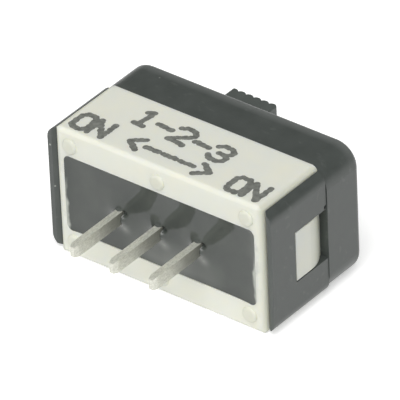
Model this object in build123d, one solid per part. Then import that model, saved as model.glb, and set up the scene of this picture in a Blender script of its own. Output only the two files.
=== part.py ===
from build123d import *
import math
import os

# A miniature slide switch with one pole, two positions and three flat terminals, in millimetres.
# X is the way the knob slides, -Y the way the terminals point, +Y the way the knob points.
# +Z is the printed long side. The switch lies on the other long side.
# The origin is on the middle terminal's pitch line, in the plane of the standoff pads' tips,
# which is the face of a circuit board that the switch is fitted to.

# Whole body
body_width = 7.8            # across the two long sides
base_length = 13.4          # over the ends of the white base
base_depth = 4.68           # from the base's rim to the plane where it meets the bezel
bezel_depth = 2.8           # thickness of the black bezel that the knob comes out of

# Base
base_edge_round = 0.35      # the edges at the two ends
base_rim_round = 0.25       # the long edges of the rim
end_rim = 0.55              # wall between the well and each end
long_rim = 1.59             # wall between the well and each long side
well_depth = 1.0            # depth of the well that the sealing resin fills
well_corner = 0.35
floor_thickness = 0.9       # between the well and the contact chamber
pad_height = 0.16
pad_diameter = 0.9
pad_edge_round = 0.14
pad_end_inset = 1.0         # end of the base to the centre of the nearest pad
pad_side_inset = 0.93       # long side to the centres of a row of pads

# Latches and their windows
window_start = 2.0          # rim to the near edge of the window
window_height = 3.06
latch_clearance = 0.06      # latch to the window's edges
latch_flush = 0.02          # latch below the arm's outer face
latch_ramp = 0.65           # length of the lead-in slope
latch_crest = 2.0           # rounding where the slope begins
latch_corner = 0.35

# Housing
arm_wall = 0.47
arm_lead_in = 0.2           # chamfer inside each arm's tip
arm_gap = 0.05              # base to arm, each end
arm_inset = 0.18            # arm's edge below the long side
arm_corner = 0.7
arm_tip_gap = 0.06          # rim to the arm's tip
bezel_overhang = 0.04       # bezel beyond the arm, each end
bezel_corner = 1.3
bezel_edge_round = 0.4
bezel_front_wall = 1.23
witness_groove = 0.06       # moulding groove between arm and bezel
core_mark_diameter = 0.24   # round mark at the window's upper corner
core_mark_gap = 0.02

# Terminals and fixed contacts
terminal_pitch = 2.54
terminal_thickness = 0.4
terminal_width = 0.74
terminal_drop = 0.08        # terminal's centre below the middle of the body
terminal_below_rim = 4.0    # free length below the rim
terminal_tip_taper = 0.3
terminal_tip_draft = 0.07   # loss on each side over the tapered tip
shoulder_width = 1.4        # widened part that the resin grips
shoulder_height = 0.5
head_length = 1.9
head_width = 2.0
head_thickness = 0.35
button_diameter = 1.3
button_height = 0.22
button_shank = 0.6

# Sealing resin
seal_recess = 0.12          # resin below the rim
meniscus_height = 0.24      # resin drawn up each terminal, short of the board
meniscus_reach = 0.55       # spread of the raised foot beyond the terminal's corners
terminal_fit = 0.02         # slot in the base's floor, each side

# Slider
travel = terminal_pitch     # the bridge moves over by one terminal
knob_length = 2.9
knob_width = 4.7
knob_height = 2.33          # above the bezel
knob_edge_round = 0.12
ridge_count = 6
ridge_pitch = 0.5
ridge_radius = 0.305
slot_end_clearance = 0.2
slot_side_clearance = 0.1
carriage_cover = 0.25       # carriage past the slot's end at full travel
carriage_lip = 0.5          # carriage beyond the knob, each side
running_clearance = 0.08
stop_clearance = 0.12
boss_length = 3.0
boss_width = 3.0
boss_lift = 0.1             # boss above the bridging contact
spring_bore = 2.1
spring_bore_end = 1.03      # plastic left between the spring bore and the bezel's front

# Bridging contact and its coil spring
contact_gap = 0.03          # bridging contact to the buttons
bridge_thickness = 0.25
bridge_overreach = 0.68     # bridge past the centres of the buttons that it joins
bridge_lift = 0.3           # turned-up ends
bridge_toe = 0.45           # length of each turned-up end
lug_length = 1.6
lug_thickness = 0.2
lug_height = 1.3
lug_clearance = 0.05
chamber_end_gap = 0.15      # chamber wall to the end terminals' heads
chamber_side_gap = 0.5      # chamber wall to the bridge
spring_wire = 0.22
spring_turns = 5
spring_side_gap = 0.1       # coil to the bore's wall
spring_end_gap = 0.02

# Detent spring
detent_thickness = 0.15
detent_depth = 0.9          # strip's width, along Y
detent_half_span = 2.0
detent_bump = 0.3           # how far the nose goes into a notch
detent_nose = 0.36          # half width of the nose at its root
detent_foot = 0.3           # flat foot at each end of the strip
detent_gap = 0.04
detent_stop = 0.3           # pegs on the housing that hold the strip's ends
relief_depth = 0.85         # cut-back edge of the carriage that the strip runs in
relief_clearance = 0.1

# How far a cutting shape runs past the face that it opens
cut_past = 1.0

# Where things end, from the values above
rim_y = pad_height
back_y = rim_y + base_depth
front_y = back_y + bezel_depth
half_width = body_width / 2
half_base = base_length / 2
arm_in = half_base + arm_gap
arm_out = arm_in + arm_wall
half_bezel = arm_out + bezel_overhang
well_floor = rim_y + well_depth
chamber_floor = well_floor + floor_thickness
head_top = chamber_floor + head_thickness
button_top = head_top + button_height
bridge_bottom = button_top + contact_gap
bridge_top = bridge_bottom + bridge_thickness
seal_top = rim_y + seal_recess
window_end = base_depth
terminal_z = -terminal_drop
terminal_places = {"left": -terminal_pitch, "middle": 0.0, "right": terminal_pitch}

bridge_half = terminal_pitch / 2 + bridge_overreach
chamber_half = terminal_pitch + head_length / 2 + chamber_end_gap
chamber_width = boss_width + 2 * chamber_side_gap
slot_half = knob_length / 2 + travel / 2 + slot_end_clearance
slot_width = knob_width + 2 * slot_side_clearance
carriage_half = slot_half + travel / 2 + carriage_cover
carriage_width = knob_width + 2 * carriage_lip
recess_half = carriage_half + travel / 2 + stop_clearance
recess_width = carriage_width + 2 * running_clearance
recess_end = front_y - bezel_front_wall
carriage_back = back_y + running_clearance
carriage_front = recess_end - running_clearance
bore_end = front_y - spring_bore_end
track_z = carriage_width / 2 - relief_depth
relief_half = detent_half_span + detent_gap + detent_stop + travel / 2 + relief_clearance
slider_x = -travel / 2      # the knob's place at rest


def plate_y(outline, low, high):
    """An outline drawn in X and Z, made solid from low to high along Y."""
    return extrude(Plane.XZ.offset(-low) * outline, amount=high - low, dir=(0, 1, 0))


def plate_z(outline, low, high):
    """An outline drawn in X and Y, made solid from low to high along Z."""
    return extrude(Plane.XY.offset(low) * outline, amount=high - low, dir=(0, 0, 1))


def plate_x(outline, low, high):
    """An outline drawn in Y and Z, made solid from low to high along X."""
    return extrude(Plane.YZ.offset(low) * outline, amount=high - low, dir=(1, 0, 0))


def block(x0, x1, y0, y1, z0, z1):
    """A plain block between two corners."""
    centre = Pos((x0 + x1) / 2, (y0 + y1) / 2, (z0 + z1) / 2)
    return centre * Box(x1 - x0, y1 - y0, z1 - z0)


def rod_y(x, z, diameter, low, high):
    """A round rod along Y."""
    return plate_y(Pos(x, z) * Circle(diameter / 2), low, high)


def latch(side):
    """The latch on one end of the base: a square catch, then a slope towards the bezel."""
    near = rim_y + window_start + latch_clearance
    far = rim_y + window_end - latch_clearance
    ramp_start = far - latch_ramp
    proud = arm_out - latch_flush
    root = half_base - base_edge_round
    profile = Polygon(
        (root, near), (proud, near), (proud, ramp_start), (half_base, far), (root, far), align=None
    )
    crest = profile.vertices().sort_by_distance((proud, ramp_start, 0))[0]
    profile = fillet(crest, latch_crest)
    half_height = window_height / 2 - latch_clearance
    face = Pos((near + far) / 2, 0) * RectangleRounded(far - near, 2 * half_height, latch_corner)
    square_side = block(root, proud, near, near + latch_corner, -half_height, half_height)
    body = plate_z(profile, -half_height, half_height) & (
        plate_x(face, root, proud) + square_side
    )
    return body if side > 0 else mirror(body, about=Plane.YZ)


def make_base():
    """White base: sealed well on the board side, contact chamber on the bezel side."""
    ends = RectangleRounded(base_length, body_width, base_edge_round)
    base = plate_y(ends, rim_y, back_y)
    plan = Pos(0, rim_y + base_depth) * RectangleRounded(base_length, 2 * base_depth, base_edge_round)
    base &= plate_z(plan, -half_width, half_width)
    section = Pos(rim_y + base_depth, 0) * RectangleRounded(
        2 * base_depth, body_width, base_rim_round
    )
    base &= plate_x(section, -half_base, half_base)

    well_length = base_length - 2 * end_rim
    well_width = body_width - 2 * long_rim
    base -= plate_y(RectangleRounded(well_length, well_width, well_corner), 0, well_floor)
    base -= block(
        -chamber_half, chamber_half, chamber_floor, back_y + cut_past,
        terminal_z - chamber_width / 2, terminal_z + chamber_width / 2,
    )
    slot_x = terminal_thickness / 2 + terminal_fit
    slot_z = terminal_width / 2 + terminal_fit
    for x in terminal_places.values():
        base -= block(
            x - slot_x, x + slot_x, well_floor - cut_past, chamber_floor + cut_past,
            terminal_z - slot_z, terminal_z + slot_z,
        )
    pad_x = half_base - pad_end_inset
    pad_z = half_width - pad_side_inset
    for x in (-pad_x, 0, pad_x):
        for z in (-pad_z, pad_z):
            pad = rod_y(x, z, pad_diameter, 0, rim_y + base_rim_round)
            base += fillet(pad.faces().sort_by(Axis.Y)[0].edges(), pad_edge_round)
    for side in (-1, 1):
        base += latch(side)
    return base


def make_housing():
    """Black U-shaped housing: a bezel with the knob's slot, and two thin arms with windows."""
    bezel_outline = RectangleRounded(2 * half_bezel, body_width, bezel_corner)
    bezel = plate_y(bezel_outline, back_y, front_y)
    rim = bezel.faces().sort_by(Axis.Y)[-1].edges()
    bezel = fillet(rim, bezel_edge_round)

    arm_outline = RectangleRounded(2 * arm_out, body_width - 2 * arm_inset, arm_corner)
    tip_y = rim_y + arm_tip_gap
    arms = plate_y(arm_outline, tip_y, back_y)
    flare = arm_in + arm_lead_in
    inside = Polygon(
        (-arm_in, back_y), (-arm_in, tip_y + arm_lead_in), (-flare, tip_y),
        (flare, tip_y), (arm_in, tip_y + arm_lead_in), (arm_in, back_y), align=None,
    )
    arms -= plate_z(inside, -half_width, half_width)
    housing = bezel + arms

    housing -= block(
        -recess_half, recess_half, back_y - cut_past, recess_end,
        -recess_width / 2, recess_width / 2,
    )
    housing -= block(
        -slot_half, slot_half, recess_end - cut_past, front_y + cut_past,
        -slot_width / 2, slot_width / 2,
    )
    window = block(
        half_base, arm_out + cut_past, rim_y + window_start, rim_y + window_end,
        -window_height / 2, window_height / 2,
    )
    housing -= window + mirror(window, about=Plane.YZ)
    housing += detent_stops()
    return housing - witness_marks(arm_outline)


def witness_marks(arm_outline):
    """Shallow groove over each arm beside the bezel, and a round core mark where it ends."""
    inner = offset(arm_outline, -witness_groove)
    ring = plate_y(arm_outline - inner, back_y - witness_groove, back_y)
    marks = ring & block(half_base, arm_out, 0, front_y, window_height / 2, half_width)
    radius = core_mark_diameter / 2
    centre_z = window_height / 2 + core_mark_gap + radius
    across = Pos(back_y - radius, centre_z) * Circle(radius)
    marks += plate_x(across, arm_out - arm_wall / 2, arm_out + cut_past)
    return marks + mirror(marks, about=Plane.YZ)


def stem_points(half, draft):
    """Outline of a terminal's stem across one of its two directions, with a tapered tip."""
    tip_y = rim_y - terminal_below_rim
    taper_y = tip_y + terminal_tip_taper
    left = [(-half, chamber_floor), (-half, taper_y), (-half + draft, tip_y)]
    return left + [(-x, y) for x, y in reversed(left)]


def make_terminal(x):
    """Flat terminal with a tapered tip, a shoulder in the resin and a T-shaped contact head."""
    half_thick = terminal_thickness / 2
    half_wide = terminal_width / 2
    front = Polygon(*stem_points(half_thick, terminal_tip_draft), align=None)
    side = Polygon(*[(y, z) for z, y in stem_points(half_wide, terminal_tip_draft)], align=None)
    stem = plate_z(front, -half_wide, half_wide) & plate_x(side, -half_thick, half_thick)
    shoulder = block(
        -half_thick, half_thick, well_floor - shoulder_height, well_floor,
        -shoulder_width / 2, shoulder_width / 2,
    )
    head = block(
        -head_length / 2, head_length / 2, chamber_floor, head_top, -head_width / 2, head_width / 2
    )
    hole = rod_y(0, 0, button_shank, head_top - head_thickness / 2, head_top + cut_past)
    return Pos(x, 0, terminal_z) * (stem + shoulder + head - hole)


def make_button(x):
    """Silver contact button, its shank in the terminal's head."""
    disc = rod_y(0, 0, button_diameter, head_top, button_top)
    disc = fillet(disc.faces().sort_by(Axis.Y)[-1].edges(), button_height / 2)
    shank = rod_y(0, 0, button_shank, head_top - head_thickness / 2, head_top)
    return Pos(x, 0, terminal_z) * (disc + shank)


def make_seal(terminals):
    """Sealing resin that fills the well and is drawn up round each terminal."""
    well_length = base_length - 2 * end_rim
    well_width = body_width - 2 * long_rim
    seal = plate_y(RectangleRounded(well_length, well_width, well_corner), seal_top, well_floor)
    core = math.hypot(terminal_thickness, terminal_width) / 2 + terminal_fit
    top = seal_top - meniscus_height
    collar_back = seal_top + seal_recess
    bow = 1 - math.sqrt(0.5)    # where a quarter circle's middle lies between its ends
    flank = ThreePointArc(
        (core + meniscus_reach, seal_top),
        (core + bow * meniscus_reach, seal_top - bow * meniscus_height),
        (core, top),
    )
    rest = Polyline(
        (core, top), (0, top), (0, collar_back), (core + meniscus_reach, collar_back),
        (core + meniscus_reach, seal_top),
    )
    collar = revolve(make_face(flank + rest), Axis.Y, 360)
    for x in terminal_places.values():
        seal += Pos(x, 0, terminal_z) * collar
    for terminal in terminals:
        seal -= terminal
    return seal


def detent_track():
    """Cut-back stretch of the carriage's edge, with one notch for each position."""
    low, high = carriage_back - cut_past, carriage_front + cut_past
    edge = carriage_width / 2 + cut_past
    track = block(-relief_half, relief_half, low, high, track_z, edge)
    for x in (-travel / 2, travel / 2):
        notch = Polygon(
            (x - detent_nose, track_z), (x, track_z - detent_bump), (x + detent_nose, track_z),
            align=None,
        )
        track += plate_y(notch, low, high)
    return track


def make_knob():
    """Finger piece with round ridges across its top."""
    top_y = front_y + knob_height
    foot_y = carriage_front - running_clearance
    shaft = plate_y(RectangleRounded(knob_length, knob_width, knob_edge_round), foot_y, top_y)
    ridge_y = top_y - ridge_radius
    outline = Pos(0, (foot_y + ridge_y) / 2) * Rectangle(knob_length, ridge_y - foot_y)
    for index in range(ridge_count):
        x = (index - (ridge_count - 1) / 2) * ridge_pitch
        outline += Pos(x, ridge_y) * Circle(ridge_radius)
    return shaft & plate_z(outline, -knob_width / 2, knob_width / 2)


def make_slider():
    """Ridged knob, the carriage that closes the slot from inside, and the spring's boss."""
    carriage = block(
        -carriage_half, carriage_half, carriage_back, carriage_front,
        -carriage_width / 2, carriage_width / 2,
    )
    carriage -= detent_track()
    boss_bottom = bridge_top + boss_lift
    low, high = terminal_z - boss_width / 2, terminal_z + boss_width / 2
    boss = block(-boss_length / 2, boss_length / 2, boss_bottom, carriage_back, low, high)
    slider = make_knob() + carriage + boss
    slider -= rod_y(0, terminal_z, spring_bore, boss_bottom - cut_past, bore_end)
    groove_half = lug_length / 2 + lug_clearance
    groove_depth = lug_thickness + lug_clearance
    groove_start = boss_bottom - cut_past
    for inner, outer in (
        (low - cut_past, low + groove_depth), (high - groove_depth, high + cut_past)
    ):
        slider -= block(-groove_half, groove_half, groove_start, carriage_back, inner, outer)
    return Pos(slider_x, 0, 0) * slider


def make_bridge():
    """Bridging contact: a leaf with turned-up ends, and two lugs that the boss carries along."""
    lower = [(bridge_half, bridge_bottom + bridge_lift), (bridge_half - bridge_toe, bridge_bottom)]
    lower += [(-x, y) for x, y in reversed(lower)]
    upper = [(x, y + bridge_thickness) for x, y in reversed(lower)]
    leaf = plate_z(Polygon(*lower, *upper, align=None), -boss_width / 2, boss_width / 2)
    for low in (-boss_width / 2, boss_width / 2 - lug_thickness):
        leaf += block(
            -lug_length / 2, lug_length / 2, bridge_bottom, bridge_top + lug_height,
            low, low + lug_thickness,
        )
    return Pos(slider_x, 0, terminal_z) * leaf


def make_contact_spring():
    """Coil spring between the bridging contact and the end of the slider's bore."""
    start = bridge_top + spring_end_gap + spring_wire / 2
    height = bore_end - spring_end_gap - spring_wire / 2 - start
    radius = spring_bore / 2 - spring_side_gap - spring_wire / 2
    path = Helix(height / spring_turns, height, radius)
    wire = Plane(origin=path @ 0, z_dir=path % 0) * Circle(spring_wire / 2)
    coil = sweep(wire, path=path, is_frenet=True)
    return Pos(slider_x, start, terminal_z) * Rot(-90, 0, 0) * coil


def make_detent_spring():
    """Bowed strip on the bezel's inner wall, whose nose drops into the carriage's notches."""
    foot_z = recess_width / 2 - detent_thickness
    root_z = track_z + detent_gap
    lower = [
        (-detent_half_span, foot_z), (-detent_half_span + detent_foot, foot_z),
        (-detent_nose, root_z), (0, root_z - detent_bump),
    ]
    lower += [(-x, z) for x, z in reversed(lower[:-1])]
    upper = [(x, z + detent_thickness) for x, z in reversed(lower)]
    middle = (carriage_back + carriage_front) / 2
    strip = Polygon(*lower, *upper, align=None)
    return plate_y(strip, middle - detent_depth / 2, middle + detent_depth / 2)


def detent_stops():
    """Two pegs on the bezel's inner wall that hold the detent spring's ends."""
    near = detent_half_span + detent_gap
    far = near + detent_stop
    inner = recess_width / 2 - detent_stop
    outer = recess_width / 2 + running_clearance
    right = block(near, far, carriage_back, recess_end, inner, outer)
    return right + mirror(right, about=Plane.YZ)


def build_all():
    """Every piece of the switch, by name."""
    terminals = {name: make_terminal(x) for name, x in terminal_places.items()}
    pieces = {
        "housing": make_housing(),
        "base": make_base(),
        "epoxy_seal": make_seal(terminals.values()),
        "detent_spring": make_detent_spring(),
        "slider": make_slider(),
        "bridge_contact": make_bridge(),
        "contact_spring": make_contact_spring(),
    }
    for name, terminal in terminals.items():
        pieces["terminal_" + name] = terminal
        pieces["contact_button_" + name] = make_button(terminal_places[name])
    return pieces


os.makedirs("parts", exist_ok=True)
for name, piece in build_all().items():
    export_step(piece, "parts/" + name + ".step")
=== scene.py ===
import bpy
import numpy as np
from mathutils import Matrix, Vector


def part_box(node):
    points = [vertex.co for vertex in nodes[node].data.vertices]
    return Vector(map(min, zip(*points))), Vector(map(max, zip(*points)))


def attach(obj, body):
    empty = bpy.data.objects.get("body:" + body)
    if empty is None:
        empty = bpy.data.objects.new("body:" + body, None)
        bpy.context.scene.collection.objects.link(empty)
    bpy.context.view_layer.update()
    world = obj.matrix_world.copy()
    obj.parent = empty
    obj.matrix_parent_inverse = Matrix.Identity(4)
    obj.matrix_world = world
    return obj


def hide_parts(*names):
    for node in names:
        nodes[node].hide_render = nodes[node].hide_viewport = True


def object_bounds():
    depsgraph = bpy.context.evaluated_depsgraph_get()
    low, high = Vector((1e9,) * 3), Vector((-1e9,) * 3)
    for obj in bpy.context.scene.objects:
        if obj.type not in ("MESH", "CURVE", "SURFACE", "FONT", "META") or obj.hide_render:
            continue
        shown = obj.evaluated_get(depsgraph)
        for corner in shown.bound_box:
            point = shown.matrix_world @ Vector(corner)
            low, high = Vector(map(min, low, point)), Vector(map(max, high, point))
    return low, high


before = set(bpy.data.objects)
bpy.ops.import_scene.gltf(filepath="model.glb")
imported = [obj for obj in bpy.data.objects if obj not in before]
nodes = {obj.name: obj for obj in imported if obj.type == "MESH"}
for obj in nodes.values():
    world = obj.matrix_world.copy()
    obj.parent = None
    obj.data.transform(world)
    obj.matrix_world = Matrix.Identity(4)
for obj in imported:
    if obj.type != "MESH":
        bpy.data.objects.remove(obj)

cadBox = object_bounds()
mm = 0.001
terminals = [name for name in nodes if name.startswith("terminal")]
bodySizes = {
    "baseHalf": 6.70 * mm,    # middle of the body to the end faces of the base
    "tipGap": 0.06 * mm,      # base's rim to the tips of the housing's arms
}
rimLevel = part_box("housing")[0].y - bodySizes["tipGap"]
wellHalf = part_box("epoxy_seal")[1]
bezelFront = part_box("housing")[1].y
print("frame loaded:", len(nodes), "CAD nodes")


class Wire:
    # a socket of a node tree that takes part in sums, each sum adding a Math node
    def __init__(self, tree, socket):
        self.tree = tree
        self.socket = socket

    def sum(self, operation, first, second=0.0):
        made = self.tree.nodes.new("ShaderNodeMath")
        made.operation = operation
        for place, value in enumerate((first, second)):
            if isinstance(value, Wire):
                self.tree.links.new(value.socket, made.inputs[place])
            else:
                made.inputs[place].default_value = value
        return Wire(self.tree, made.outputs[0])

    def __add__(self, other):
        return self.sum("ADD", self, other)

    def __radd__(self, other):
        return self.sum("ADD", other, self)

    def __sub__(self, other):
        return self.sum("SUBTRACT", self, other)

    def __rsub__(self, other):
        return self.sum("SUBTRACT", other, self)

    def __mul__(self, other):
        return self.sum("MULTIPLY", self, other)

    def __rmul__(self, other):
        return self.sum("MULTIPLY", other, self)

    def above(self, limit):
        return self.sum("GREATER_THAN", self, limit)

    def size(self):
        return self.sum("ABSOLUTE", self)

    def root(self):
        return self.sum("SQRT", self)

    def clamped(self):
        return self.sum("MINIMUM", self.sum("MAXIMUM", self, 0.0), 1.0)

    def contrast(self, gain, shift):
        # times the gain, plus the shift, then held between 0 and 1
        return (self * gain + shift).clamped()

    def ramp(self, start, reach):
        # 0 up to the start, then rising evenly to 1 a reach further on
        return ((self - start) * (1 / reach)).clamped()

    def fade(self, reach):
        # 1 at nought, falling evenly to 0 at the reach
        return (1 - self * (1 / reach)).clamped()

    def about(self, middle, spread):
        # noise centred on a middle value, give or take half the spread
        return (self - 0.5) * spread + middle


class Finish:
    # a node tree under construction, for a material or the world
    def __init__(self, owner):
        owner.use_nodes = True
        self.owner = owner
        self.tree = owner.node_tree
        self.tree.nodes.clear()

    def node(self, kind, settings=None, sockets=None, output=0):
        # settings first, because some of them change which sockets there are
        made = self.tree.nodes.new(kind)
        for name, value in (settings or {}).items():
            setattr(made, name, value)
        for name, value in (sockets or {}).items():
            if isinstance(value, Wire):
                self.tree.links.new(value.socket, made.inputs[name])
            else:
                made.inputs[name].default_value = value
        return Wire(self.tree, made.outputs[output]) if made.outputs else made

    def part(self, vector, axis):
        return self.node("ShaderNodeSeparateXYZ", sockets={"Vector": vector}, output=axis)

    def place(self, stretch=(1, 1, 1)):
        # where a point is on the object at rest, in metres
        point = self.node("ShaderNodeTexCoord", output="Object")
        if stretch == (1, 1, 1):
            return point
        return self.node("ShaderNodeMapping", sockets={"Vector": point, "Scale": stretch})

    def across(self, axis):
        # how far a point is along one axis, in metres
        return self.part(self.place(), axis)

    def facing(self, axis):
        # how far a face is turned towards +axis, from -1 to 1
        return self.part(self.node("ShaderNodeTexCoord", output="Normal"), axis)

    def spot(self, x, z, radius):
        # a soft round spot seen along Y, 1 at its centre
        awayX, awayZ = self.across("X") - x, self.across("Z") - z
        return (awayX * awayX + awayZ * awayZ).root().fade(radius)

    def noise(self, size, detail, stretch=(1, 1, 1)):
        # soft noise whose blotches are about that size across, in metres
        return self.node(
            "ShaderNodeTexNoise",
            sockets={"Vector": self.place(stretch), "Scale": 1 / size, "Detail": detail},
            output="Fac",
        )

    def specks(self, look):
        # round specks, one at most in each cell of the spacing, in that share of the cells
        settings = {"feature": "F1"}
        sockets = {"Vector": self.place(), "Scale": 1 / look["spacing"]}
        near = self.node("ShaderNodeTexVoronoi", settings, sockets, "Distance")
        tint = self.node("ShaderNodeTexVoronoi", settings, sockets, "Color")
        chance = self.node("ShaderNodeSeparateColor", sockets={"Color": tint}, output="Red")
        return near.fade(look["radius"] / look["spacing"]) * chance.above(1 - look["share"])

    def mix(self, factor, first, second):
        # a colour between two others
        return self.node(
            "ShaderNodeMix",
            {"data_type": "RGBA", "blend_type": "MIX"},
            {0: factor, 6: first, 7: second},
            2,
        )

    def bump(self, height, depth):
        return self.node("ShaderNodeBump", sockets={"Height": height, "Distance": depth})

    def surface(self, **sockets):
        names = {name.replace("_", " "): value for name, value in sockets.items()}
        shader = self.node("ShaderNodeBsdfPrincipled", sockets=names)
        self.node("ShaderNodeOutputMaterial", sockets={"Surface": shader})
        return self.owner


def newFinish(name):
    return Finish(bpy.data.materials.new(name))


# colours are linear, and a contrast is a gain and a shift
blackPlasticLook = {
    "dark": (0.052, 0.060, 0.056),
    "light": (0.074, 0.083, 0.078),
    "blotch": 0.9 * mm,
    "grain": 0.055 * mm,
    "grainDepth": 0.004 * mm,
    "blotchGain": 1.4,
    "grainGain": 0.5,
    "mottleShift": -0.45,
    "roughness": 0.38,
    "roughnessSpread": 0.16,
    "dust": (0.42, 0.44, 0.41, 1),
    "dustSpecks": {"spacing": 1.15 * mm, "radius": 0.075 * mm, "share": 0.4},
    "dustStrength": 1.6,
    "scuff": 0.5 * mm,
    "scuffStretch": (0.5, 1, 1),
    "scuffFrom": 0.62,          # noise below this leaves no scuff
    "scuffReach": 0.2,
    "scuffStrength": 0.15,
    "paintedSheen": (0.19, 0.20, 0.195, 1),
    "paintedSheenReach": 0.85 * mm,   # how far back from the bezel's front the top is painted paler, as a highlight on its rounded edge
}


def makeBlackPlastic(name, look, litGain=1.0):
    # satin moulding: faint blotches, a fine spark-eroded grain, specks of dust and a few scuffs
    finish = newFinish(name)
    blotch = finish.noise(look["blotch"], 4.0)
    grain = finish.noise(look["grain"], 2.0)
    # a gain above 1 makes a paler copy of the same plastic, which is painted light
    dark = [litGain * c for c in look["dark"]] + [1]
    light = [litGain * c for c in look["light"]] + [1]
    mottle = blotch * look["blotchGain"] + grain * look["grainGain"] + look["mottleShift"]
    body = finish.mix(mottle.clamped(), dark, light)

    # painted highlight: the top turns paler towards the bezel's front, for the sheen on its
    # rounded front edge; the knob beyond it is left out
    alongY = finish.across("Y")
    reach = look["paintedSheenReach"]
    paintedSheen = alongY.ramp(bezelFront - reach, reach) * (1 - alongY.above(bezelFront))
    body = finish.mix(paintedSheen * finish.facing("Z").clamped(), body, look["paintedSheen"])

    dust = finish.specks(look["dustSpecks"]) * look["dustStrength"]
    scuff = finish.noise(look["scuff"], 5.0, look["scuffStretch"])
    scuff = scuff.ramp(look["scuffFrom"], look["scuffReach"]) * look["scuffStrength"]
    return finish.surface(
        Base_Color=finish.mix((dust + scuff).clamped(), body, look["dust"]),
        Roughness=blotch.about(look["roughness"], look["roughnessSpread"]),
        Normal=finish.bump(grain, look["grainDepth"]),
    )


whitePlasticLook = {
    "cool": (0.760, 0.775, 0.715, 1),
    "warm": (0.795, 0.790, 0.690, 1),
    "blotch": 1.6 * mm,
    "blotchContrast": (2.2, -0.6),
    "grain": 0.09 * mm,
    "grainDepth": 0.003 * mm,
    "roughness": 0.55,
    "roughnessSpread": 0.2,
    "specular": 0.35,
    "glow": 0.35,               # light that goes into the plastic and comes out again
    "glowColours": (1.0, 0.9, 0.6),
    "glowReach": 0.5 * mm,
    # painted shade, used near the ends beside the arms, on the latches' slopes and on the pads'
    # tips
    "paintedShade": (0.50, 0.51, 0.41, 1),
    "endShadeReach": 0.35 * mm,      # how far the painted shade at the ends comes in from the arms, for the shade in the gaps beside them
    "endShadeStrength": 0.7,
    "slopeShadeStrength": 1.6,       # painted shade on the slopes of the latches, which face +Y
    "padShadeStrength": 0.3,         # painted shade on the tips of the standoff pads
    "padDepth": 0.01 * mm,
    "smear": (0.42, 0.44, 0.42, 1),
    "smearSize": 0.75 * mm,
    "smearReach": 0.42 * mm,    # how far the resin has crept over the rim from the well's ends
    "smearDepth": 1.4,          # and how deep, as a multiple of the rim's level
    "smearContrast": (6.6, -3.75),
    "smearStrength": 0.55,
    "grime": (0.50, 0.50, 0.42, 1),
    "grimeSpecks": {"spacing": 1.9 * mm, "radius": 0.05 * mm, "share": 0.25},
    "grimeStrength": 0.6,
}


def makeWhitePlastic(name, look):
    # warm white moulding that lets a little light through, with a soft uneven sheen
    finish = newFinish(name)
    blotch = finish.noise(look["blotch"], 3.0)
    grain = finish.noise(look["grain"], 2.0)
    body = finish.mix(blotch.contrast(*look["blotchContrast"]), look["cool"], look["warm"])

    end = bodySizes["baseHalf"]
    outward, depth = finish.across("X").size(), finish.across("Y")
    onLatch = outward.above(end)
    # painted shade: darker near the ends, beside the black arms
    nearEndShade = outward.ramp(end - look["endShadeReach"], look["endShadeReach"]) * (1 - onLatch)
    # painted shade on the latches' faces that turn towards +Y
    slopeShade = (finish.facing("Y") * onLatch * look["slopeShadeStrength"]).clamped()
    body = finish.mix((nearEndShade * look["endShadeStrength"] + slopeShade).clamped(), body, look["paintedShade"])

    crept = (outward - wellHalf.x).fade(look["smearReach"]) * outward.above(wellHalf.x)
    beside = (1 - finish.across("Z").size().above(wellHalf.z)) * (
        1 - depth.above(rimLevel * look["smearDepth"])
    )
    gain, shift = look["smearContrast"]
    smear = ((finish.noise(look["smearSize"], 3.0) * gain + shift) * crept).clamped() * beside
    body = finish.mix(smear * look["smearStrength"], body, look["smear"])

    # painted shade on the pads' tips, which stand proud of the rim
    onPad = 1 - depth.above(rimLevel - look["padDepth"])
    body = finish.mix(onPad * look["padShadeStrength"], body, look["paintedShade"])
    grime = finish.specks(look["grimeSpecks"]) * look["grimeStrength"]
    return finish.surface(
        Base_Color=finish.mix(grime, body, look["grime"]),
        Specular_IOR_Level=look["specular"],
        Roughness=blotch.about(look["roughness"], look["roughnessSpread"]),
        Subsurface_Weight=look["glow"],
        Subsurface_Radius=look["glowColours"],
        Subsurface_Scale=look["glowReach"],
        Normal=finish.bump(grain, look["grainDepth"]),
    )


resinLook = {
    "dark": (0.046, 0.053, 0.049, 1),
    "light": (0.068, 0.076, 0.068, 1),
    "cloud": 1.8 * mm,
    "cloudContrast": (2.0, -0.5),
    "roughness": 0.05,
    "cloudRoughness": 0.04,
    "ripple": 0.7 * mm,
    "rippleDepth": 0.006 * mm,
    "paleStretch": (0.150, 0.160, 0.148, 1),      # a paler stretch along the middle of one long side
    "paleStretchPlace": (0.8 * mm, -1.9 * mm),
    "paleStretchHalf": (3.4 * mm, 1.5 * mm),
    "paleStretchLeast": 0.5,
    "bubbleAndGlint": (0.45, 0.46, 0.43, 1),
    "bubbleSpecks": {"spacing": 1.7 * mm, "radius": 0.05 * mm, "share": 0.22},
    "bubbleStrength": 0.8,
    "glintPlace": (0.25 * mm, -0.75 * mm),   # a painted highlight beside each terminal, where the meniscus below it catches the light
    "glintRadius": 0.55 * mm,
    "glintStrength": 0.3,
    "film": (0.62, 0.64, 0.58, 1),          # the plastic showing through the resin's thin edge
    "filmReach": 0.16 * mm,
    "filmWander": 0.5 * mm,
    "filmSize": 1.1 * mm,
    "filmTop": 1.0 * mm,                    # no film above this height
    "filmFade": 1.0 * mm,
    "filmStrength": 0.7,
}


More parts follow.
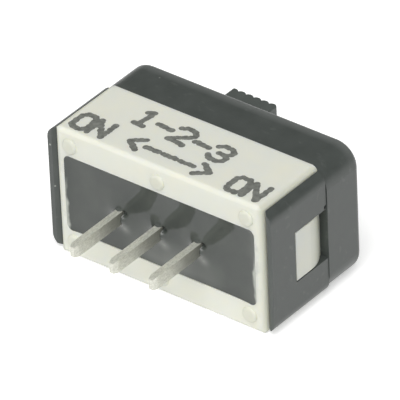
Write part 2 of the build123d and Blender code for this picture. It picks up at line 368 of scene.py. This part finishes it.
def makeResin(name, look):
    # poured and cured: cloudy grey, glossy, faintly rippled, with a few tiny bubbles
    finish = newFinish(name)
    cloud = finish.noise(look["cloud"], 3.0)
    ripple = finish.noise(look["ripple"], 1.0)
    alongX, alongZ = finish.across("X"), finish.across("Z")
    body = finish.mix(cloud.contrast(*look["cloudContrast"]), look["dark"], look["light"])

    # a paler tone along the middle of one long side, stronger where the cloud is paler
    (stretchX, stretchZ), (halfX, halfZ) = look["paleStretchPlace"], look["paleStretchHalf"]
    paleStretch = (alongX - stretchX).size().fade(halfX) * (alongZ - stretchZ).size().fade(halfZ)
    body = finish.mix(paleStretch * (cloud + look["paleStretchLeast"]), body, look["paleStretch"])
    # painted highlight: a pale spot beside each terminal's foot, in the bubbles' colour
    for terminal in terminals:
        foot = (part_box(terminal)[0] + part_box(terminal)[1]) / 2
        x, z = foot.x + look["glintPlace"][0], foot.z + look["glintPlace"][1]
        spot = finish.spot(x, z, look["glintRadius"])
        body = finish.mix(spot * spot * look["glintStrength"], body, look["bubbleAndGlint"])

    wander = finish.noise(look["filmSize"], 2.0).about(0.0, look["filmWander"])
    film = (wellHalf.x - alongX.size() - wander).fade(look["filmReach"])
    film = film * (1 - alongZ.ramp(look["filmTop"] - look["filmFade"], look["filmFade"]))
    body = finish.mix(film * look["filmStrength"], body, look["film"])
    bubbles = finish.specks(look["bubbleSpecks"]) * look["bubbleStrength"]
    return finish.surface(
        Base_Color=finish.mix(bubbles, body, look["bubbleAndGlint"]),
        Roughness=cloud * look["cloudRoughness"] + look["roughness"],
        Normal=finish.bump(ripple, look["rippleDepth"]),
    )


tinLook = {
    "bright": (0.92, 0.92, 0.84, 1),
    "dull": (0.50, 0.50, 0.43, 1),
    "sideShade": (0.20, 0.20, 0.17, 1),
    "sideShadeFrom": -2.4 * mm,   # painted reflection: the sides are darker from here to the board's face, where they mirror the dark resin
    "sideShadeLeast": 0.1,
    "sideShadeGain": 0.75,
    "upright": 0.7,             # a face turned up this far is not a side
    "grain": 0.09 * mm,
    "fineness": 0.6,            # of the second grain, next to the first
    "streak": (1, 0.4, 1),
    "streakDepth": 0.006 * mm,
    "mottleContrast": (1.2, -0.7),
    "metal": 0.55,
    "roughness": 0.42,
    "roughnessSpread": 0.3,
}


def makeTin(name, look):
    # tin plate over punched strip: drawn streaks along the pin and a dull crystalline grain
    finish = newFinish(name)
    streak = finish.noise(look["grain"], 3.0, look["streak"])
    grain = finish.noise(look["grain"] * look["fineness"], 2.0)
    mottle = (streak + grain).contrast(*look["mottleContrast"])
    colour = finish.mix(mottle, look["dull"], look["bright"])
    # painted reflection: faces not turned up are darker, the more so towards the foot
    foot = finish.across("Y").ramp(look["sideShadeFrom"], -look["sideShadeFrom"])
    sides = 1 - finish.facing("Z").above(look["upright"])
    sideShade = sides * (foot * look["sideShadeGain"] + look["sideShadeLeast"])
    return finish.surface(
        Base_Color=finish.mix(sideShade, colour, look["sideShade"]),
        Metallic=look["metal"],
        Roughness=grain.about(look["roughness"], look["roughnessSpread"]),
        Normal=finish.bump(streak + grain, look["streakDepth"]),
    )


contactLook = {
    "roll": 0.05 * mm,
    "rollStretch": (0.15, 1, 1),
    "rollDepth": 0.002 * mm,
    "stain": 0.6 * mm,
    "contrast": (0.6, -0.1),
    "roughnessSpread": 0.2,
    "silver": {"bright": (0.88, 0.87, 0.84, 1), "dull": (0.68, 0.67, 0.63, 1), "roughness": 0.28},
    "brass": {"bright": (0.80, 0.62, 0.34, 1), "dull": (0.58, 0.42, 0.20, 1), "roughness": 0.32},
    "steel": {"bright": (0.66, 0.66, 0.64, 1), "dull": (0.42, 0.42, 0.41, 1), "roughness": 0.26},
}


def makeContactMetal(name, look, metal):
    # plain strip or wire metal with fine rolling marks
    finish = newFinish(name)
    roll = finish.noise(look["roll"], 3.0, look["rollStretch"])
    stain = finish.noise(look["stain"], 3.0)
    mottle = (roll + stain).contrast(*look["contrast"])
    return finish.surface(
        Base_Color=finish.mix(mottle, metal["dull"], metal["bright"]),
        Metallic=1.0,
        Roughness=stain.about(metal["roughness"], look["roughnessSpread"]),
        Normal=finish.bump(roll, look["rollDepth"]),
    )


inkLook = {
    "thick": (0.125, 0.130, 0.118, 1),
    "thin": (0.235, 0.243, 0.220, 1),
    "patch": 0.22 * mm,
    "patchContrast": (2.4, -0.75),
    "patchDepth": 0.003 * mm,
    "roughness": 0.6,
    "roughnessSpread": 0.2,
}


def makeInk(name, look):
    # jet-printed ink, thinner in patches
    finish = newFinish(name)
    patch = finish.noise(look["patch"], 3.0)
    return finish.surface(
        Base_Color=finish.mix(
            patch.contrast(*look["patchContrast"]), look["thick"], look["thin"]
        ),
        Roughness=patch.about(look["roughness"], look["roughnessSpread"]),
        Normal=finish.bump(patch, look["patchDepth"]),
    )


knobLitGain = 1.4    # painted light: how much paler the knob's copy of the black plastic is than the housing's
finishes = {
    "housing": makeBlackPlastic("blackPlastic", blackPlasticLook),
    "slider": makeBlackPlastic("knobPlasticLit", blackPlasticLook, knobLitGain),
    "base": makeWhitePlastic("whitePlastic", whitePlasticLook),
    "resin": makeResin("sealingResin", resinLook),
    "terminal": makeTin("tinPlate", tinLook),
    "button": makeContactMetal("contactSilver", contactLook, contactLook["silver"]),
    "bridge": makeContactMetal("contactBrass", contactLook, contactLook["brass"]),
    "spring": makeContactMetal("springSteel", contactLook, contactLook["steel"]),
    "ink": makeInk("markingInk", inkLook),
}
print("finishes made:", len(finishes))


def dress(piece, finish):
    piece.data.materials.clear()
    piece.data.materials.append(finish)


for name, piece in nodes.items():
    if name in terminals:
        dress(piece, finishes["terminal"])
    elif name.startswith("contact_button"):
        dress(piece, finishes["button"])
    elif name.endswith("spring"):
        dress(piece, finishes["spring"])
    elif name == "bridge_contact":
        dress(piece, finishes["bridge"])
    elif name in finishes:
        dress(piece, finishes[name])
print("CAD nodes dressed")


def addMesh(name, points, faces, finish, smooth=True):
    data = bpy.data.meshes.new(name)
    data.from_pydata(points.reshape(-1, 3).tolist(), [], faces)
    data.polygons.foreach_set("use_smooth", np.full(len(data.polygons), smooth))
    data.update()
    piece = bpy.data.objects.new(name, data)
    bpy.context.scene.collection.objects.link(piece)
    dress(piece, finish)
    return piece


def slabFaces(rows, columns):
    # quads of two grids of the same size, front then back, with a strip round their borders
    index = np.arange(rows * columns).reshape(rows, columns)
    a, b = index[:-1, :-1].ravel(), index[:-1, 1:].ravel()
    c, d = index[1:, 1:].ravel(), index[1:, :-1].ravel()
    back = rows * columns
    border = np.concatenate([index[0, :], index[1:, -1], index[-1, -2::-1], index[-2:0:-1, 0]])
    onward = np.roll(border, -1)
    front = np.stack([a, b, c, d], 1)
    rear = np.stack([d, c, b, a], 1) + back
    strip = np.stack([onward, border, border + back, onward + back], 1)
    return np.concatenate([front, rear, strip]).tolist()


resinShape = {
    "recess": 0.10 * mm,      # below the rim, away from walls and pins
    "pinRise": 0.25 * mm,     # resin drawn up each pin
    "pinReach": 0.62 * mm,    # how fast that dies away
    "pinCore": 0.42 * mm,     # half the pin's diagonal
    "coreLeast": 0.7,         # the rise is level inside this share of the core
    "pitDepth": 0.42 * mm,    # hollow left where the resin shrank from each pin's +X face
    "pitRadius": 0.13 * mm,
    "pitPlace": (0.27 * mm, 0.24 * mm),
    "wallRise": 0.03 * mm,    # resin drawn up the walls
    "wallReach": 0.26 * mm,
    "endRise": 0.08 * mm,     # and further up the two ends
    "endShadeReach": 0.40 * mm,
    "swell": 0.012 * mm,      # long ripples, their lengths along X and Z and where they start
    "swellLength": (1.9 * mm, 1.3 * mm),
    "swellStart": (0.6, 0.4),
    "ripple": 0.006 * mm,     # and short ones that run across
    "rippleLength": (0.8 * mm, 0.9 * mm),
    "corner": 0.35 * mm,
    "columns": 300,
    "rows": 130,
    "crowding": 0.45 * np.pi,   # the grid is closer towards the walls, as a sine is at this angle
}


def crowdedLine(count, crowding):
    # from -1 to 1 as sin(t * crowding) / sin(crowding), with t in even steps from -1 to 1
    return np.sin(np.linspace(-1, 1, count) * crowding) / np.sin(crowding)


def makeResinPiece(shape):
    # Along the well's width z the half length is the well's, less what its corner arcs take.
    # Depth y = rim + recess - rise of each pin - rise of the walls and ends + pits + ripples.
    # A pin's rise is pinRise * exp(-(r - core) / reach) * sqrt(core / r), a wall's or an end's is
    # rise * exp(-distance / reach), and a pit is pitDepth * exp(-(distance / pitRadius) ^ 2).
    # The ripples are swell * sin(x / length + start) * cos(z / length + start), and the short
    # ones ripple * sin(x / length + z / length).
    low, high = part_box("epoxy_seal")
    half = (high - low) / 2
    u = crowdedLine(shape["columns"], shape["crowding"])
    v = crowdedLine(shape["rows"], shape["crowding"])
    u, v = np.meshgrid(u, v)
    z = v * half.z
    over = np.clip(np.abs(z) - (half.z - shape["corner"]), 0, shape["corner"])
    halfLength = half.x - shape["corner"] + np.sqrt(shape["corner"] ** 2 - over ** 2)
    x = u * halfLength
    y = np.full_like(x, rimLevel + shape["recess"])
    for terminal in terminals:
        pinLow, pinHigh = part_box(terminal)
        pin = (pinLow + pinHigh) / 2
        r = np.maximum(np.hypot(x - pin.x, z - pin.z), shape["pinCore"] * shape["coreLeast"])
        fall = np.exp(-(r - shape["pinCore"]) / shape["pinReach"])
        y -= shape["pinRise"] * fall * np.sqrt(shape["pinCore"] / r)
        pit = np.hypot(x - pin.x - shape["pitPlace"][0], z - pin.z - shape["pitPlace"][1])
        y += shape["pitDepth"] * np.exp(-(pit / shape["pitRadius"]) ** 2)
    toEnd = halfLength - np.abs(x)
    toWall = np.minimum(toEnd, half.z - np.abs(z))
    y -= shape["wallRise"] * np.exp(-toWall / shape["wallReach"])
    y -= shape["endRise"] * np.exp(-toEnd / shape["endShadeReach"])
    (swellX, swellZ), (startX, startZ) = shape["swellLength"], shape["swellStart"]
    y += shape["swell"] * np.sin(x / swellX + startX) * np.cos(z / swellZ + startZ)
    y += shape["ripple"] * np.sin(x / shape["rippleLength"][0] + z / shape["rippleLength"][1])
    front = np.stack([x, y, z], -1)
    back = np.stack([x, np.full_like(x, high.y), z], -1)
    return addMesh("resinSurface", np.stack([front, back]), slabFaces(*x.shape), finishes["resin"])


resin = makeResinPiece(resinShape)
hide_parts("epoxy_seal")
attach(resin, "body")
print("resin surface made:", len(resin.data.polygons), "faces")

legend = {
    # each line's text, and where it starts and ends on the printed side, in mm
    "lines": [
        {"text": "1-2-3", "start": (-3.75, 2.76), "end": (2.70, 2.27)},
        {"text": "ON <---> ON", "start": (-6.05, 0.66), "end": (6.20, 0.60)},
    ],
    "cell": 0.80,            # a letter's width, as a share of its pitch
    "height": 1.30,          # mm
    "step": 0.15,            # mm from one drop of ink to the next
    "drop": 0.185,           # mm, a drop's radius
    "dropSizes": (0.88, 1.1),
    "wobble": 0.018,         # mm
    "thickness": 0.008,      # mm, about which the drops vary
    "thicknesses": (0.6, 1.4),
    "sunk": 0.02,            # mm, a drop's foot below the plastic
    "rings": (1.0, 1.0, 0.72),
    "sides": 10,
    "seed": 7,
}

# strokes on a cell that runs from 0 to 4 across and 0 to 6 up
cellSize = np.array((4, 6))
strokes = {
    "1": [[(1, 5), (2.2, 6), (2.2, 0)], [(1, 0), (3.4, 0)]],
    "2": [[(0, 5), (1, 6), (3, 6), (4, 5), (4, 4), (0, 0), (4, 0)]],
    "3": [[(0, 5), (1, 6), (3, 6), (4, 5), (4, 4), (3, 3), (1.5, 3)],
          [(3, 3), (4, 2), (4, 1), (3, 0), (1, 0), (0, 1)]],
    "O": [[(1, 0), (3, 0), (4, 1), (4, 5), (3, 6), (1, 6), (0, 5), (0, 1), (1, 0)]],
    "N": [[(0, 0), (0, 6), (4, 0), (4, 6)]],
    "<": [[(3.6, 5.4), (0.4, 3), (3.6, 0.6)]],
    ">": [[(0.4, 5.4), (3.6, 3), (0.4, 0.6)]],
    "-": [[(0.2, 3), (3.8, 3)]],
}


def strokeDrops(line, style):
    # ink drops at even steps along every stroke of a line of text, as x and y on the printed side
    start, end = np.array(line["start"]), np.array(line["end"])
    along = (end - start) / len(line["text"])
    pitch = np.hypot(*along)
    across = along / pitch
    up = np.array((-across[1], across[0]))
    letterSize = np.array((pitch * style["cell"], style["height"]))
    drops = []
    for place, letter in enumerate(line["text"]):
        for stroke in strokes.get(letter, []):
            points = np.array(stroke, float) * letterSize / cellSize
            reach = np.concatenate([[0], np.cumsum(np.hypot(*np.diff(points, axis=0).T))])
            count = max(2, int(round(reach[-1] / style["step"])) + 1)
            at = np.linspace(0, reach[-1], count)
            flat = np.stack([np.interp(at, reach, points[:, k]) for k in (0, 1)], 1)
            drops.append(start + along * place + flat[:, :1] * across + flat[:, 1:] * up)
    return np.concatenate(drops)


def makeLegend(style):
    # Each drop is a low flat-topped mound: a foot circle in the plastic, the same circle at the
    # surface and a smaller one on top. A point is centre + radius * (cos angle, sin angle).
    drops = np.concatenate([strokeDrops(line, style) for line in style["lines"]])
    chance = np.random.default_rng(style["seed"])
    drops = drops + chance.normal(0, style["wobble"], drops.shape)
    size = style["drop"] * chance.uniform(*style["dropSizes"], len(drops))
    angle = np.linspace(0, 2 * np.pi, style["sides"], endpoint=False)
    circle = np.stack([np.cos(angle), np.sin(angle)], 1)
    rings = np.array(style["rings"])
    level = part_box("base")[1].z / mm
    thickness = style["thickness"] * chance.uniform(*style["thicknesses"], len(drops))
    sunk = np.full(len(drops), -style["sunk"])
    heights = level + np.stack([sunk, np.zeros(len(drops)), thickness], 1)
    flat = drops[:, None, None] + size[:, None, None, None] * rings[None, :, None, None] * circle
    tall = np.broadcast_to(heights[:, :, None, None], flat.shape[:3] + (1,))
    points = np.concatenate([flat, tall], -1) * mm

    sides = style["sides"]
    here = np.arange(sides)
    onward = np.roll(here, -1)
    ringCount = len(rings)
    first = np.arange(len(drops))[:, None, None] * ringCount * sides
    walls = [np.stack([here, onward, onward + sides, here + sides], 1) + sides * k
             for k in range(ringCount - 1)]
    quads = (np.concatenate(walls)[None] + first).reshape(-1, 4).tolist()
    tops = (here + (ringCount - 1) * sides + first[:, 0]).tolist()
    feet = (here[::-1] + first[:, 0]).tolist()
    return addMesh("printedLegend", points, quads + tops + feet, finishes["ink"], smooth=False)


marking = makeLegend(legend)
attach(marking, "body")
print("legend made:", len(marking.data.polygons), "faces")

studio = {
    "floorTint": (0.90, 0.90, 0.90, 1),
    "floorRoughness": 0.9,
    "floorGlow": 0.45,                     # what brings the floor up to white
    "mirrorGlow": 0.52,                    # and up to a pale tone in shiny faces
    "floorHalf": 3.0,
    "worldTint": (0.30, 0.306, 0.303, 1),
    "gapTint": (0.02, 0.02, 0.01, 1),      # what shiny faces see past the floor on the -Y side
    "screenTint": (0.80, 0.82, 0.82, 1),   # above that
    "screenLow": 0.09,
    "farTint": (0.20, 0.20, 0.19, 1),      # and on the +Y side
    "lamps": {
        "keyLamp": {
            "power": 4.4,
            "size": 0.55,
            "place": (0.17, -0.34, 0.64),
            "tint": (1.0, 0.995, 0.98),
        },
        "fillLamp": {
            "power": 0.95,
            "size": 0.50,
            "place": (0.22, -0.66, 0.16),
            "tint": (0.99, 1.0, 1.0),
        },
    },
}
black, white = (0, 0, 0, 1), (1, 1, 1, 1)


def makeFloor(style):
    # pale sheet under the switch; camera and mirror rays also see it glow
    level, half = cadBox[0][2], style["floorHalf"]
    turns = ((-1, -1), (1, -1), (1, 1), (-1, 1))
    corners = np.array([(half * x, half * y, level) for x, y in turns])
    finish = newFinish("paleFloor")
    camera = finish.node("ShaderNodeLightPath", output="Is Camera Ray")
    glossy = finish.node("ShaderNodeLightPath", output="Is Glossy Ray")
    through = finish.node("ShaderNodeLightPath", output="Is Transmission Ray")
    glow = camera * style["floorGlow"] + (glossy + through) * style["mirrorGlow"]
    finish.surface(
        Base_Color=style["floorTint"],
        Roughness=style["floorRoughness"],
        Specular_IOR_Level=0.0,
        Emission_Color=finish.mix(glow, black, white),
        Emission_Strength=1.0,
    )
    floor = addMesh("floor", corners, [[0, 1, 2, 3]], finish.owner)


def makeLights(style):
    # an even world that shiny faces see as a dark gap under a pale screen, and two soft lamps
    sky = Finish(bpy.context.scene.world or bpy.data.worlds.new("studioWorld"))
    bpy.context.scene.world = sky.owner
    way = sky.node("ShaderNodeTexCoord", output="Generated")
    screened = sky.part(way, "Z").above(style["screenLow"])
    near = sky.mix(screened, style["gapTint"], style["screenTint"])
    mirror = sky.mix(sky.part(way, "Y").above(0.0), near, style["farTint"])
    mirrored = sky.node("ShaderNodeLightPath", output="Is Glossy Ray")
    tint = sky.mix(mirrored, style["worldTint"], mirror)
    glow = sky.node("ShaderNodeBackground", sockets={"Color": tint, "Strength": 1.0})
    sky.node("ShaderNodeOutputWorld", sockets={"Surface": glow})
    for name, values in style["lamps"].items():
        lamp = bpy.data.lights.new(name, "AREA")
        lamp.energy = values["power"]
        lamp.size = values["size"]
        lamp.color = values["tint"]
        holder = bpy.data.objects.new(name, lamp)
        holder.location = values["place"]
        holder.rotation_euler = (-Vector(values["place"])).to_track_quat("-Z", "Y").to_euler()
        bpy.context.scene.collection.objects.link(holder)


makeFloor(studio)
makeLights(studio)
print("floor and lights placed")

viewpoint = {
    "place": (0.211627, -0.255595, 0.228721),
    "forward": (-0.52217, 0.63935, -0.56442),
    "right": (0.78989, 0.61210, -0.03740),
    "lens": 710.4,
    "sensor": 36.0,
}


def placeCamera(style):
    # the way right is squared to the way forward, and up is across them both
    forward = Vector(style["forward"]).normalized()
    right = Vector(style["right"])
    right = (right - forward * right.dot(forward)).normalized()
    up = right.cross(forward)
    lens = bpy.data.cameras.new("camera")
    lens.lens = style["lens"]
    lens.sensor_width = style["sensor"]
    camera = bpy.data.objects.new("camera", lens)
    turn = Matrix((right, up, -forward)).transposed().to_4x4()
    camera.matrix_world = Matrix.Translation(style["place"]) @ turn
    bpy.context.scene.collection.objects.link(camera)
    bpy.context.scene.camera = camera


placeCamera(viewpoint)
bpy.context.scene.view_settings.view_transform = "Standard"
print("camera placed")
